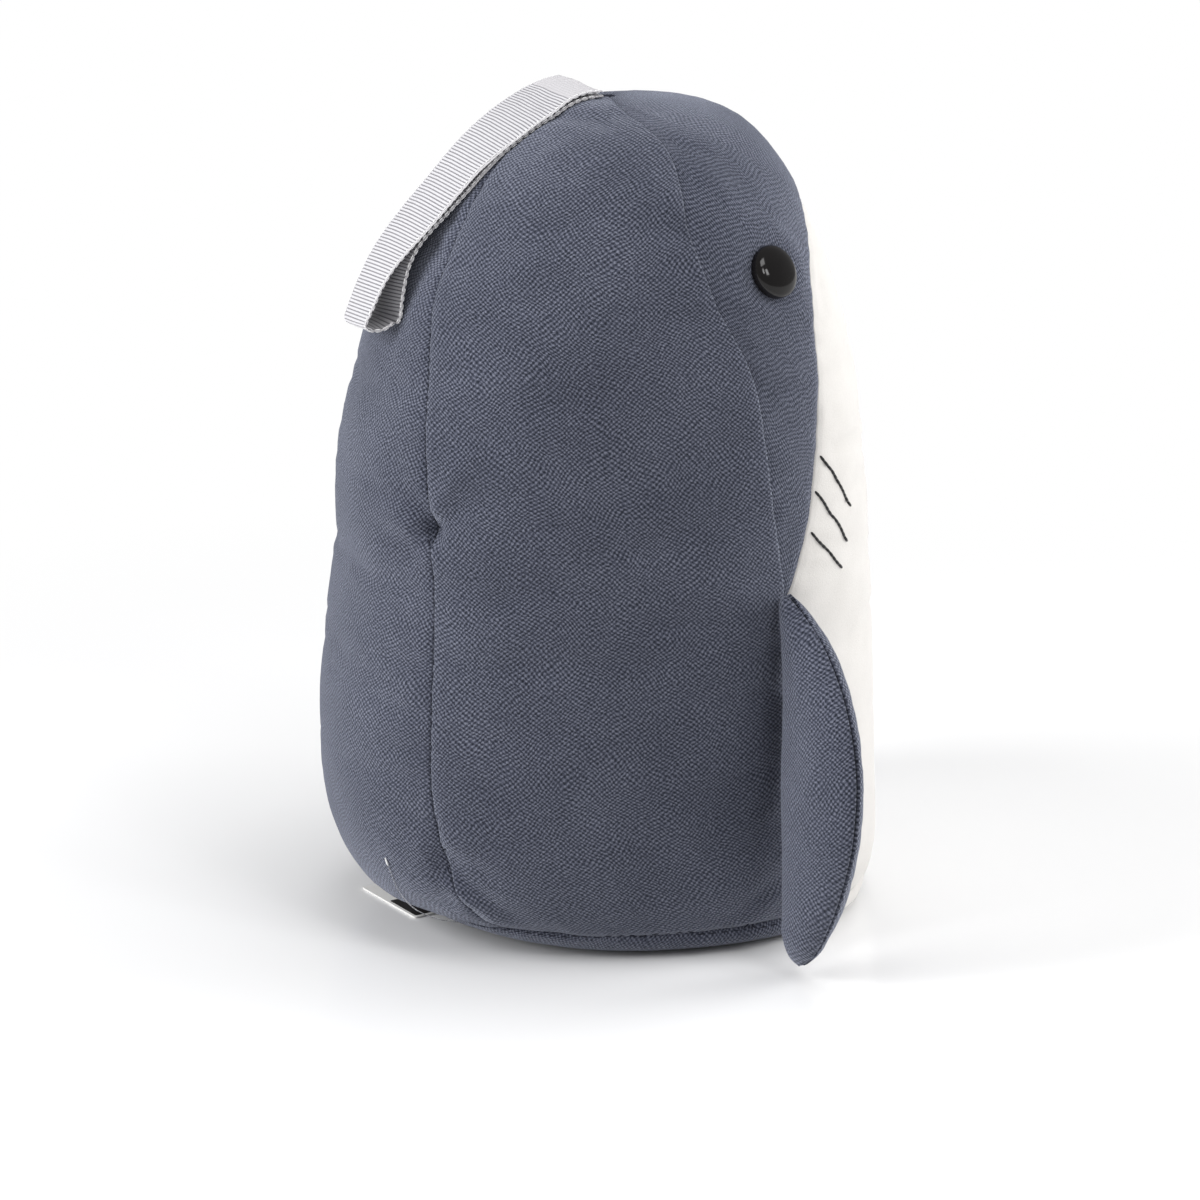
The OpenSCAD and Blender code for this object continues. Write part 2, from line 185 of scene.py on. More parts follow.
# ---------------------------------------------------------------- one welded skin for the seams
def apex_row(grid):
    """Brings the belly's last row onto the seam at its top, so that no gap is left there."""
    end, top = grid[-2], grid[-1, 0, 1]
    share = np.abs(end[:, 0]) / abs(end[0, 0])
    grid[-1] = np.stack([end[:, 0], end[:, 1] + (top - end[:, 1]) * (1 - share)], -1)


apex_row(GRIDS["belly_panel"])
rim = np.concatenate([GRIDS["belly_panel"][0, :, 0], GRIDS["side_panel_right"][0, 1:, 0],
                      GRIDS["back_panel"][0, 1:, 0], GRIDS["side_panel_left"][0, 1:, 0] + 360])
WRAP = np.array([0.12, 0.35, 0.6, 0.85, 1.05, 1.2, 1.32, 1.42, BASE_T])
HUB = np.array([0, -20, 0.0])
places = {k: skin(g[..., 0], g[..., 1]) for k, g in GRIDS.items()}
edge_ring = skin(rim, 0.04)
flat_part = np.stack([HUB + (edge_ring - HUB) * [k, k, 0] for k in np.linspace(0.02, 0.97, 16)])
places["base_panel"] = np.vstack([flat_part, skin(rim[None], WRAP[:, None])])


def weld(places):
    """All grid points with meeting ones joined, and each grid's point numbers."""
    stack = np.vstack([v.reshape(-1, 3) for v in places.values()])
    key = np.round(stack / 0.02).astype(np.int64)
    _, first, back = np.unique(key, axis=0, return_index=True, return_inverse=True)
    back, ids, at = back.reshape(-1), {}, 0
    for k, v in places.items():
        n = v.shape[0] * v.shape[1]
        ids[k] = back[at:at + n].reshape(v.shape[:2])
        at += n
    return stack[first], ids


def quads(g):
    """Faces of a grid of point numbers, facing out, without the collapsed ones."""
    q = np.stack([g[:-1, :-1], g[1:, :-1], g[1:, 1:], g[:-1, 1:]], -1).reshape(-1, 4)
    faces = []
    for f in q.tolist():
        f = list(dict.fromkeys(f))
        if len(f) > 2:
            faces.append(f)
    return faces


def normals(p, faces):
    n = np.zeros_like(p)
    for f in faces:
        a, b, c = p[f[0]], p[f[1]], p[f[2]]
        m = np.cross(b - a, c - a)
        if len(f) == 4:
            m = m + np.cross(c - a, p[f[3]] - a)
        n[f] += m
    return unit(n)


points, ids = weld(places)
faces = [f for g in ids.values() for f in quads(g)]
skin_n = normals(points, faces)


def grid_runs(p):
    """Length along the rows from the left border, and along the columns, of a grid in mm."""
    a = np.linalg.norm(np.diff(p, axis=1), axis=-1)
    b = np.linalg.norm(np.diff(p, axis=0), axis=-1)
    run = np.concatenate([np.zeros((p.shape[0], 1)), np.cumsum(a, axis=1)], axis=1)
    up = np.concatenate([np.zeros((1, p.shape[1])), np.cumsum(b, axis=0)], axis=0)
    return run, up


def line(path):
    """Seam points in mm, close together, on both sides of the body."""
    fine = spline(path, 300)
    return np.vstack([skin(fine[:, 0], fine[:, 1]), skin(-fine[:, 0], fine[:, 1])])


def gap_to(places, p):
    """Distance in mm from each point of p to the nearest of places."""
    tree = kdtree.KDTree(len(places))
    for i, q in enumerate(places):
        tree.insert(q, i)
    tree.balance()
    return np.array([tree.find(q)[2] for q in p])


# seams by kind: their points, how deep and how wide the groove is, and how hard they pucker
SEAMS = {
    "back": (line(BACK_SEAM), 0.55, 1.0, 1.0),
    "face": (line(SIDE_FACE), 0.15, 0.9, 0.6),
    "low": (line(SIDE_LOW), 0.9, 1.2, 0.8),
    "belly": (line(BELLY_TOP), 0.7, 1.1, 0.6),
    "base": (skin(np.arange(0, 360, 0.5), BASE_T), 0.9, 1.1, 0.8),
}
seam_gap = {k: gap_to(v[0], points) for k, v in SEAMS.items()}
any_gap = np.min(list(seam_gap.values()), axis=0)


def wave(p, size, seed):
    """Smooth noise at points p (mm), with features about size mm across."""
    off = Vector((seed * 7.1, seed * 3.7, seed * 1.3))
    return np.array([noise.noise(Vector(q) / size + off) for q in p])


def smooth(values, faces, rounds):
    """values averaged with their neighbours over the mesh, many times."""
    e = np.array([(f[i], f[i - 1]) for f in faces for i in range(len(f))])
    n = len(values)
    count = np.bincount(e[:, 0], minlength=n) + np.bincount(e[:, 1], minlength=n)
    for _ in range(rounds):
        total = (np.bincount(e[:, 0], values[e[:, 1]], n)
                 + np.bincount(e[:, 1], values[e[:, 0]], n))
        values = 0.5 * values + 0.5 * total / np.maximum(count, 1)
    return values


def stuffed(p, n, faces, shrink, held):
    """Inflates the skin as cloth whose seams draw in; the small wrinkles that it forms, in mm."""
    mesh = bpy.data.meshes.new("cloth")
    mesh.from_pydata([tuple(v) for v in p * 0.01], [], faces)
    o = bpy.data.objects.new("cloth", mesh)
    bpy.context.scene.collection.objects.link(o)
    pin, seam = o.vertex_groups.new(name="pin"), o.vertex_groups.new(name="seam")
    for i in np.flatnonzero(held > 0.01).tolist():
        pin.add([i], float(held[i]), "REPLACE")
    for i in np.flatnonzero(shrink > 0.01).tolist():
        seam.add([i], float(shrink[i]), "REPLACE")
    cloth = o.modifiers.new("cloth", "CLOTH")
    cfg = cloth.settings
    cfg.quality, cfg.mass = 6, 0.15
    cfg.tension_stiffness = cfg.compression_stiffness = 14
    cfg.shear_stiffness, cfg.bending_stiffness = 6, 0.02
    cfg.use_pressure, cfg.uniform_pressure_force = True, 4
    cfg.effector_weights.gravity = 0
    cfg.vertex_group_mass, cfg.pin_stiffness = "pin", 0.6
    cfg.vertex_group_shrink, cfg.shrink_min, cfg.shrink_max = "seam", 0.0, 0.16
    cloth.collision_settings.use_collision = False
    cloth.point_cache.frame_start, cloth.point_cache.frame_end = 1, 20
    for frame_no in range(1, 21):
        bpy.context.scene.frame_set(frame_no)
    got = o.evaluated_get(bpy.context.evaluated_depsgraph_get()).data
    end = np.empty(3 * len(got.vertices))
    got.vertices.foreach_get("co", end)
    move = ((end.reshape(-1, 3) * 100 - p) * n).sum(-1)
    bpy.data.objects.remove(o)
    bpy.data.meshes.remove(mesh)
    bpy.context.scene.frame_set(1)
    return np.clip(move - smooth(move, faces, 60), -2.4, 2.4)


pull = np.max([np.exp(-(seam_gap[k] / 2.2) ** 2) * SEAMS[k][3] for k in SEAMS], axis=0)
base_hold = np.clip(1.2 - points[:, 2] / 3, 0, 1)
wrinkle = stuffed(points, skin_n, faces, pull, base_hold)

# the simulated wrinkles, the stuffing's hollows and swells, and small puckers by the seams
near = np.exp(-(any_gap / 8) ** 2)
WRINKLE_SHARE = 0.3
lift = WRINKLE_SHARE * wrinkle + 0.5 * wave(points, 38, 1) + 0.2 * wave(points, 15, 2)
lift += near * 0.4 * wave(points * [1, 1, 1.7], 6.5, 3)
uneven = 0.8 + 0.9 * wave(points, 14, 9)
for gap, depth, width, _ in [(seam_gap[k], *SEAMS[k][1:]) for k in SEAMS]:
    lift -= uneven * depth * (np.exp(-(gap / width) ** 2) + 0.45 * np.exp(-(gap / 4) ** 2))


def crease(a, b, depth, width):
    """A soft fold in the cloth along a line between two skin points, deepest at its start."""
    a, b = skin(*a), skin(*b)
    u = np.clip(((points - a) @ (b - a)) / ((b - a) @ (b - a)), 0, 1)
    d = np.linalg.norm(points - a - u[:, None] * (b - a), axis=1)
    return -depth * (1 - 0.75 * u) * np.exp(-(d / width) ** 2)


# (angle, station) of each fold's two ends, its depth in mm (negative for a ridge) and its width
FOLDS = [
    # the pucker half way up the back seam
    ((137, 6.76), (152, 7.3), 2.0, 3.4), ((137, 6.68), (149, 6.2), 1.4, 3.0),
    ((137, 6.72), (122, 7.15), 2.0, 4.0), ((138, 6.5), (150, 6.85), -1.3, 2.4),
    ((136, 6.9), (127, 7.6), -1.3, 2.6),
    # the pucker low on the back seam
    ((135, 3.47), (146, 3.6), 1.0, 2.6), ((135, 3.2), (124, 3.0), 1.3, 3.0),
    ((134, 3.0), (120, 2.2), 2.1, 3.4), ((133, 2.7), (122, 1.9), -1.5, 2.6),
    # soft folds from the face seam and from the fin's root
    ((82, 10.15), (100, 10.3), 1.1, 5.0), ((76, 9.1), (92, 8.7), 0.9, 4.5),
    ((64, 4.9), (84, 4.6), 0.7, 5.0), ((64, 4.2), (82, 3.7), 0.6, 5.0),
    ((64, 5.5), (80, 5.6), 0.5, 4.5)]
FAR_SIDE = 0.8
for a, b, depth, width in FOLDS:
    lift += crease(a, b, depth, width)
    lift += crease((-a[0], a[1]), (-b[0], b[1]), FAR_SIDE * depth, width)


# the strip of body that the ribbon lies on stays low, and the eyes press the cloth in
RIB = np.array([[3.2, 231.1], [8, 230.4], [13, 228.9], [18, 226.7], [23, 224.1], [28, 220.9],
                [33, 217.1], [38, 212.7], [42.5, 207.9], [46.8, 202.4], [50.8, 196.4],
                [54.6, 190], [57.9, 183.5], [60.9, 176.6], [62, 173.6]])
EYE_AT = (55.8, 9.5)
under_ribbon = (points[:, 1] > 0) & (points[:, 2] > 165) & (np.abs(points[:, 0]) < 22)
lift = np.where(under_ribbon, np.minimum(lift, 0.1), lift)
eye_place = skin(*EYE_AT)
for m in (1, -1):
    d = np.linalg.norm(points - eye_place * [m, 1, 1], axis=1)
    lift += -1.0 * np.exp(-(d / 8) ** 4) + 0.5 * np.exp(-((d - 12) / 3) ** 2)
lift *= np.clip(points[:, 2] / 5, 0, 1)
shape = points + skin_n * lift[:, None]
tree = bvhtree.BVHTree.FromPolygons([tuple(v) for v in shape], faces)


def on_skin(p, rise=0.0):
    """The nearest place on the finished skin to each point, raised along its normal."""
    found = [tree.find_nearest(q) for q in np.atleast_2d(p)]
    return np.array([np.array(q[0]) + rise * np.array(q[1]) for q in found])


# ---------------------------------------------------------------- materials
def shader(name):
    mat = bpy.data.materials.new(name)
    mat.use_nodes = True
    return mat, mat.node_tree.nodes, mat.node_tree.links, mat.node_tree.nodes["Principled BSDF"]


def math_node(nodes, links, kind, a, b=None, clamp=False):
    n = nodes.new("ShaderNodeMath")
    n.operation, n.use_clamp = kind, clamp
    for i, v in enumerate((a, b)):
        if v is None:
            continue
        if isinstance(v, (int, float)):
            n.inputs[i].default_value = v
        else:
            links.new(v, n.inputs[i])
    return n.outputs[0]


def noise_node(nodes, links, vector, scale, detail=2.0, rough=0.5):
    n = nodes.new("ShaderNodeTexNoise")
    n.inputs["Scale"].default_value = scale
    n.inputs["Detail"].default_value = detail
    n.inputs["Roughness"].default_value = rough
    links.new(vector, n.inputs["Vector"])
    return n


def ramp(nodes, links, fac, stops):
    n = nodes.new("ShaderNodeValToRGB")
    while len(n.color_ramp.elements) < len(stops):
        n.color_ramp.elements.new(0.5)
    for e, (at, colour) in zip(n.color_ramp.elements, stops):
        e.position, e.color = at, (*colour, 1)
    links.new(fac, n.inputs[0])
    return n.outputs[0]


def mix(nodes, links, kind, fac, a, b):
    n = nodes.new("ShaderNodeMix")
    n.data_type, n.blend_type = "RGBA", kind
    for sock, v in ((n.inputs[0], fac), (n.inputs[6], a), (n.inputs[7], b)):
        if isinstance(v, (int, float)):
            sock.default_value = v
        elif isinstance(v, tuple):
            sock.default_value = (*v, 1)
        else:
            links.new(v, sock)
    return n.outputs[2]


def bump(nodes, links, height, distance, strength, bsdf):
    n = nodes.new("ShaderNodeBump")
    n.inputs["Distance"].default_value = distance
    n.inputs["Strength"].default_value = strength
    links.new(height, n.inputs["Height"])
    links.new(n.outputs[0], bsdf.inputs["Normal"])


def blue_cloth():
    """Blue-grey knit with a staggered grid of tiny pits, painted darker in the pits as shade and
    lighter on the crests; its UVs are in mm along the cloth.
    """
    mat, nodes, links, bsdf = shader("blue_fabric")
    uv = nodes.new("ShaderNodeUVMap")
    uv.uv_map = "cloth"
    place = uv.outputs[0]
    for scale, reach in ((0.06, 5.0), (0.3, 1.1), (1.4, 0.5)):
        wander = noise_node(nodes, links, uv.outputs[0], scale, 1)
        shift = nodes.new("ShaderNodeVectorMath")
        shift.operation = "MULTIPLY_ADD"
        shift.inputs[1].default_value = (reach, reach, 0)
        links.new(wander.outputs["Color"], shift.inputs[0])
        links.new(place, shift.inputs[2])
        place = shift.outputs[0]
    sep = nodes.new("ShaderNodeSeparateXYZ")
    links.new(place, sep.inputs[0])
    u = math_node(nodes, links, "MULTIPLY", sep.outputs[0], 2 * math.pi / 1.55)
    v = math_node(nodes, links, "MULTIPLY", sep.outputs[1], 2 * math.pi / 1.3)
    knit = math_node(nodes, links, "MULTIPLY", math_node(nodes, links, "COSINE", u),
                     math_node(nodes, links, "COSINE", v))
    fuzz = noise_node(nodes, links, uv.outputs[0], 1.6, 2, 0.6)
    knit_height_shade = math_node(nodes, links, "MULTIPLY_ADD", knit, 0.36)
    knit_height_shade.node.inputs[2].default_value = 0.0
    links.new(fuzz.outputs["Fac"], knit_height_shade.node.inputs[2])
    # painted shade and light: the colour follows the knit's bump height, darkest in the pits and
    # lightest on the crests, with random fuzz in it
    tone = ramp(nodes, links, knit_height_shade, [(0.15, (0.012, 0.015, 0.024)), (0.5, (0.053, 0.0585, 0.085)),
                                      (0.9, (0.168, 0.179, 0.23))])
    patch = noise_node(nodes, links, uv.outputs[0], 0.035, 3)
    cloudy = ramp(nodes, links, patch.outputs["Fac"], [(0.3, (0.84, 0.84, 0.85)),
                                                       (0.7, (1.16, 1.15, 1.13))])
    links.new(mix(nodes, links, "MULTIPLY", 1.0, tone, cloudy), bsdf.inputs["Base Color"])
    bsdf.inputs["Roughness"].default_value = 0.9
    bsdf.inputs["Specular IOR Level"].default_value = 0.25
    bsdf.inputs["Sheen Weight"].default_value = 0.42
    bsdf.inputs["Sheen Roughness"].default_value = 0.45
    bsdf.inputs["Sheen Tint"].default_value = (0.8, 0.85, 1, 1)
    bump(nodes, links, knit_height_shade, 0.0005, 0.65, bsdf)
    return mat


def plain_cloth(name, low, high, scale, rough=0.9, depth=0.0002, sheen=0.3):
    """Cloth whose tone wanders between two colours, with a fine pile."""
    mat, nodes, links, bsdf = shader(name)
    at = nodes.new("ShaderNodeTexCoord").outputs["Object"]
    big = noise_node(nodes, links, at, scale, 3)
    pile = noise_node(nodes, links, at, scale * 22, 3, 0.7)
    both = math_node(nodes, links, "MULTIPLY_ADD", pile.outputs["Fac"], 0.5)
    both.node.inputs[2].default_value = 0.0
    half = math_node(nodes, links, "MULTIPLY", big.outputs["Fac"], 0.5)
    links.new(half, both.node.inputs[2])
    links.new(ramp(nodes, links, both, [(0.3, low), (0.7, high)]), bsdf.inputs["Base Color"])
    bsdf.inputs["Roughness"].default_value = rough
    bsdf.inputs["Specular IOR Level"].default_value = 0.2
    bsdf.inputs["Sheen Weight"].default_value = sheen
    bsdf.inputs["Sheen Roughness"].default_value = 0.5
    bump(nodes, links, pile.outputs["Fac"], depth, 0.5, bsdf)
    return mat


def ribbon_cloth():
    """Grosgrain: pale ribs across the ribbon, with painted shade as fine grey lines in the grooves
    between them, and its end at the crown painted a flat grey as shade.
    """
    mat, nodes, links, bsdf = shader("ribbon")
    uv = nodes.new("ShaderNodeUVMap")
    uv.uv_map = "cloth"
    sep = nodes.new("ShaderNodeSeparateXYZ")
    links.new(uv.outputs[0], sep.inputs[0])
    rough = noise_node(nodes, links, uv.outputs[0], 1.5, 2)
    wobble = math_node(nodes, links, "MULTIPLY", rough.outputs["Fac"], 0.9)
    turn = math_node(nodes, links, "MULTIPLY_ADD", sep.outputs[1], 2 * math.pi / RIB_PITCH)
    links.new(wobble, turn.node.inputs[2])
    rib = math_node(nodes, links, "COSINE", turn)
    # painted shade: the grooves between the ribs are darker, keyed to the same ribs as the bump
    tone = ramp(nodes, links, math_node(nodes, links, "MULTIPLY_ADD", rib, 0.5), [
        (0.0, (0.16, 0.155, 0.17)), (0.28, (0.37, 0.365, 0.385)), (0.5, (0.58, 0.575, 0.60))])
    tone.node.inputs[0].links[0].from_node.inputs[2].default_value = 0.5
    edge = math_node(nodes, links, "ABSOLUTE", sep.outputs[0])
    rim = ramp(nodes, links, math_node(nodes, links, "DIVIDE", edge, RIBBON_W / 2),
               [(0.90, (0, 0, 0)), (0.93, (1, 1, 1))])
    # painted shade: the first 9 mm of the ribbon, its end sewn at the crown, turns a flat grey
    # where it faces away from the light
    ends = math_node(nodes, links, "LESS_THAN", sep.outputs[1], 9.0)
    both = math_node(nodes, links, "MAXIMUM", rim, ends)
    links.new(mix(nodes, links, "MIX", both, tone, (0.50, 0.49, 0.51)), bsdf.inputs["Base Color"])
    bsdf.inputs["Roughness"].default_value = 0.6
    bsdf.inputs["Specular IOR Level"].default_value = 0.35
    bsdf.inputs["Sheen Weight"].default_value = 0.1
    bump(nodes, links, rib, 0.0001, 0.6, bsdf)
    return mat


def clear_nylon():
    mat, nodes, links, bsdf = shader("clear_nylon")
    at = nodes.new("ShaderNodeTexCoord").outputs["Object"]
    n = noise_node(nodes, links, at, 300, 2)
    links.new(ramp(nodes, links, n.outputs["Fac"], [(0.3, (0.85, 0.86, 0.88)),
                                                    (0.7, (0.95, 0.95, 0.96))]),
              bsdf.inputs["Base Color"])
    bsdf.inputs["Roughness"].default_value = 0.2
    bsdf.inputs["Transmission Weight"].default_value = 0.9
    bsdf.inputs["IOR"].default_value = 1.2
    return mat


def gloss_black():
    mat, nodes, links, bsdf = shader("eye_black")
    at = nodes.new("ShaderNodeTexCoord").outputs["Object"]
    n = noise_node(nodes, links, at, 90, 3)
    links.new(ramp(nodes, links, n.outputs["Fac"], [(0.3, (0.0035, 0.003, 0.0032)),
                                                    (0.7, (0.007, 0.006, 0.006))]),
              bsdf.inputs["Base Color"])
    haze = ramp(nodes, links, n.outputs["Fac"], [(0.3, (0.07,) * 3), (0.7, (0.13,) * 3)])
    links.new(haze, bsdf.inputs["Roughness"])
    bsdf.inputs["Specular IOR Level"].default_value = 0.35
    return mat


def plastic(name, colour, rough=0.35):
    mat, nodes, links, bsdf = shader(name)
    at = nodes.new("ShaderNodeTexCoord").outputs["Object"]
    n = noise_node(nodes, links, at, 400, 2)
    dim = tuple(0.92 * c for c in colour)
    links.new(ramp(nodes, links, n.outputs["Fac"], [(0.3, dim), (0.7, colour)]),
              bsdf.inputs["Base Color"])
    bsdf.inputs["Roughness"].default_value = rough
    return mat


RIBBON_W, RIBBON_T, RIB_PITCH = 22.0, 0.7, 0.98
BLUE = blue_cloth()
WHITE = plain_cloth("white_fabric", (0.60, 0.58, 0.555), (0.67, 0.65, 0.625), 90)
FIBRE = plain_cloth("filling", (0.75, 0.75, 0.73), (0.92, 0.92, 0.9), 60)
BAG = plain_cloth("bag_cloth", (0.42, 0.37, 0.29), (0.58, 0.52, 0.43), 70)
GRAIN = plain_cloth("grain", (0.24, 0.18, 0.11), (0.55, 0.46, 0.34), 300, 0.8, 0.0008, 0.0)
RIBBON = ribbon_cloth()
STITCH = plain_cloth("ribbon_stitch", (0.86, 0.86, 0.86), (0.95, 0.95, 0.95), 400, 0.8)
THREAD = plain_cloth("thread_black", (0.006, 0.006, 0.007), (0.02, 0.02, 0.022), 500, 0.7)
SEAM = plain_cloth("seam_thread", (0.012, 0.013, 0.02), (0.035, 0.038, 0.055), 500, 0.8, sheen=0.0)
EYE = gloss_black()
WASHER = plastic("washer", (0.78, 0.78, 0.76))
NYLON = plastic("tag_plastic", (0.9, 0.9, 0.9), 0.3)
CLEAR = clear_nylon()
INK = plain_cloth("tag_ink", (0.012, 0.011, 0.011), (0.03, 0.028, 0.028), 120, 0.5, 0.00002, 0.0)
CARD = plain_cloth("tag_card", (0.80, 0.79, 0.77), (0.86, 0.86, 0.84), 120, 0.55, 0.00005, 0.0)


# ---------------------------------------------------------------- building pieces
def piece(name, verts, faces, mat, body, nodes=(), smooth=True):
    """A mesh piece from points in mm; it rides on a body and may stand for CAD nodes."""
    mesh = bpy.data.meshes.new(name)
    mesh.from_pydata([tuple(v) for v in np.asarray(verts) * MM], [], faces)
    mesh.materials.append(mat)
    mesh.validate()
    mesh.polygons.foreach_set("use_smooth", [smooth] * len(mesh.polygons))
    o = bpy.data.objects.new(name, mesh)
    bpy.context.scene.collection.objects.link(o)
    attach(o, body)
    if nodes:
        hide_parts(*nodes)
    return o


def cloth_piece(node, p, uv, mat, body, nodes=None, thick=1.0, turn=False):
    """A grid of points in mm as the sewn panel for a CAD node; its cloth coordinates are UVs."""
    rows, cols = p.shape[:2]
    number = np.arange(rows * cols).reshape(rows, cols)
    f = quads(number)
    if turn:
        f = [q[::-1] for q in f]
    stands_for = [node] if nodes is None else nodes
    o = piece(f"{node}_cloth", p.reshape(-1, 3), f, mat, body, stands_for)
    layer = o.data.uv_layers.new(name="cloth")
    flat = uv.reshape(-1, 2)
    for loop in o.data.loops:
        layer.data[loop.index].uv = flat[loop.vertex_index]
    bm = bmesh.new()
    bm.from_mesh(o.data)
    bmesh.ops.remove_doubles(bm, verts=bm.verts, dist=0.02 * MM)
    bm.to_mesh(o.data)
    bm.free()
    solid = o.modifiers.new("thickness", "SOLIDIFY")
    solid.thickness, solid.offset = thick * MM, -1
    return o


def cloth_uv(p):
    """Cloth coordinates in mm: across from the middle column, and up along it."""
    run, up = grid_runs(p)
    mid = p.shape[1] // 2
    return np.stack([run - run[:, mid:mid + 1], np.repeat(up[:, mid:mid + 1], p.shape[1], 1)], -1)


for k in GRIDS:
    p = shape[ids[k]]
    if k == "belly_panel":
        cloth_piece(k, p, cloth_uv(p), WHITE, "body")
    else:
        cloth_piece(k, p, cloth_uv(p), BLUE, "body")
p = shape[ids["base_panel"]]
base_uv = p[..., :2].copy()
_, wrap_up = grid_runs(p)
far = np.linalg.norm(p[..., :2] - HUB[:2], axis=-1, keepdims=True)
base_uv = HUB[:2] + (p[..., :2] - HUB[:2]) / np.maximum(far, 1e-6) * wrap_up[..., None]
front = GRIDS["belly_panel"].shape[1]
turn_up = len(flat_part) - 1
cloth_piece("base_panel", p[:turn_up + 1], base_uv[:turn_up + 1], BLUE, "body")
cloth_piece("base_edge", p[turn_up:, front - 1:], base_uv[turn_up:, front - 1:], BLUE, "body",
            [])
cloth_piece("base_front", p[turn_up:, :front], base_uv[turn_up:, :front], WHITE, "body",
            [])


# ---------------------------------------------------------------- fins
FIN_O = np.array([-59.2, -41.6, 99])
FIN_V = np.array([-0.201, 0.0203, -0.9794])
FIN_S = np.array([-0.945, -0.2675, 0.1883])
FIN_N = np.array([-0.2581, 0.9634, 0.0729])
FIN_IN = np.array([[-0.9, -2.4], [-1, 6], [-2.2, 15], [-3.8, 26], [-5.4, 38], [-6.6, 49],
                   [-7, 60], [-6.6, 71], [-6, 81], [-5.4, 89], [-3.2, 95.4]])
FIN_OUT = np.array([[3, -3.8], [9.6, 3], [18.2, 11.5], [25.6, 22.5], [30, 34], [31.4, 46],
                    [29, 60], [23.6, 72], [16, 83.5], [7.6, 92.5], [0.4, 97]])
FIN_FAT = 6.2
ROOT_LEAN, LEAN_REACH = 3.6, 8


def fin_panel(side):
    """Half of a stuffed leaf: side 1 is the rear panel, flat by the body, and -1 the front one."""
    u = np.linspace(0, 1, 73)
    s = np.linspace(0, 1, 37)
    w = 2 * (s - 0.1 * np.sin(2 * np.pi * s)) - 1
    u = u - 0.06 * np.sin(2 * np.pi * u)
    a, b = soft_path(FIN_IN, u)[:, None], soft_path(FIN_OUT, u)[:, None]
    flat = (a + b) / 2 + (b - a) / 2 * w[None, :, None]
    span = np.linalg.norm(b - a, axis=-1)
    fat = np.maximum(0, 1 - np.abs(2 * u - 1) ** 2.6)[:, None] ** 0.62
    lens = np.maximum(0, 1 - np.abs(w) ** 2.3)[None] ** 0.62
    edge = np.minimum((1 - np.abs(w))[None] * span / 2, np.minimum(u, 1 - u)[:, None] * 100)
    p = FIN_O + FIN_S * flat[..., :1] + FIN_V * flat[..., 1:]
    shape = p.shape[:2]
    ripple = wave((p * [1, 1, 1.6]).reshape(-1, 3), 7, 5 + side).reshape(shape)
    swell = wave(p.reshape(-1, 3), 20, 8 + side).reshape(shape)
    h = FIN_FAT * fat * lens
    h = h + np.clip(h / 3, 0, 1) * (0.5 * swell + 0.5 * ripple * np.exp(-(edge / 6) ** 2))
    h = np.maximum(h - 0.25 * np.exp(-(edge / 1.2) ** 2), 0.0) + 0.02
    if side == 1:
        h = h * (1 - 0.6 * np.exp(-((1 + w) / 0.3) ** 2))
    lean = ROOT_LEAN * np.exp(-np.maximum(flat[..., 1] + 4, 0) / LEAN_REACH)
    return p + FIN_N * (side * h + lean)[..., None]


FIN_PANELS = {"rear": fin_panel(1), "front": fin_panel(-1)}
for name, q in FIN_PANELS.items():
    for hand, m in (("right", 1), ("left", -1)):
        half = cloth_piece(f"fin_{hand}_{name}", q * [m, 1, 1], cloth_uv(q), BLUE, f"fin_{hand}",
                           turn=(name == "rear") == (m == 1))


# ---------------------------------------------------------------- stuffing and weight inside
def core(node, ts, inset, mat):
    """A closed inner form following the skin at stations ts, inset mm inside it."""
    p = np.arange(0, 360, 7.5)
    rings = [skin(p, t) - out(p, t) * inset for t in ts]
    rings = [r + [0, 0, max(0, 1.7 - r[0, 2])] if i == 0 else r for i, r in enumerate(rings)]
    n = len(p)
    f = [[i * n + j, i * n + (j + 1) % n, (i + 1) * n + (j + 1) % n, (i + 1) * n + j]
         for i in range(len(rings) - 1) for j in range(n)]
    last = len(rings) * n
    f = [list(range(n))] + [q[::-1] for q in f] + [list(range(last - 1, last - n - 1, -1))]
    verts = np.vstack(rings)
    verts = verts + out_of(verts) * (0.5 * wave(verts, 6, 21))[:, None]
    return piece(f"{node}_shape", verts, f, mat, "body", [node])


def out_of(p):
    """Roughly outward directions from the body's middle line."""
    return unit(p * [1, 1, 0])


core("fibre_filling", np.linspace(3.75, 12.6, 26), 6.0, FIBRE)
core("weight_bag", [0.9, 1.2, 1.8, 2.4, 3.0, 3.35], 4.2, BAG)

for node, mat in (("weight_fill", GRAIN), ("fin_right_filling", FIBRE), ("fin_left_filling", FIBRE),
                  ("eye_washer_right", WASHER), ("eye_washer_left", WASHER)):
    o = bpy.data.objects[node]
    o.data.materials.clear()
    o.data.materials.append(mat)


# ---------------------------------------------------------------- stitches
def beads(name, runs, radius, mat, body, nodes=()):
    """Short thread stitches as one mesh, from (start, end) pairs in mm."""
    verts, f = [], []
    around = np.radians(np.arange(0, 360, 60))
    for a, b in runs:
        d = unit(b - a)
        side = unit(np.cross(d, [0.31, 0.77, 0.55]))
        up = np.cross(d, side)
        at = len(verts)
        for u, k in ((0, 0.3), (0.14, 0.8), (0.5, 1), (0.86, 0.8), (1, 0.3)):
            verts += [a + (b - a) * u + radius * k * (side * math.cos(w) + up * math.sin(w))
                      for w in around]
        f.append([at + j for j in range(5, -1, -1)])
        f += [[at + 6 * i + j, at + 6 * i + (j + 1) % 6, at + 6 * i + 6 + (j + 1) % 6,
               at + 6 * i + 6 + j] for i in range(4) for j in range(6)]
        f.append([at + 24 + j for j in range(6)])
    return piece(name, verts, f, mat, body, nodes)


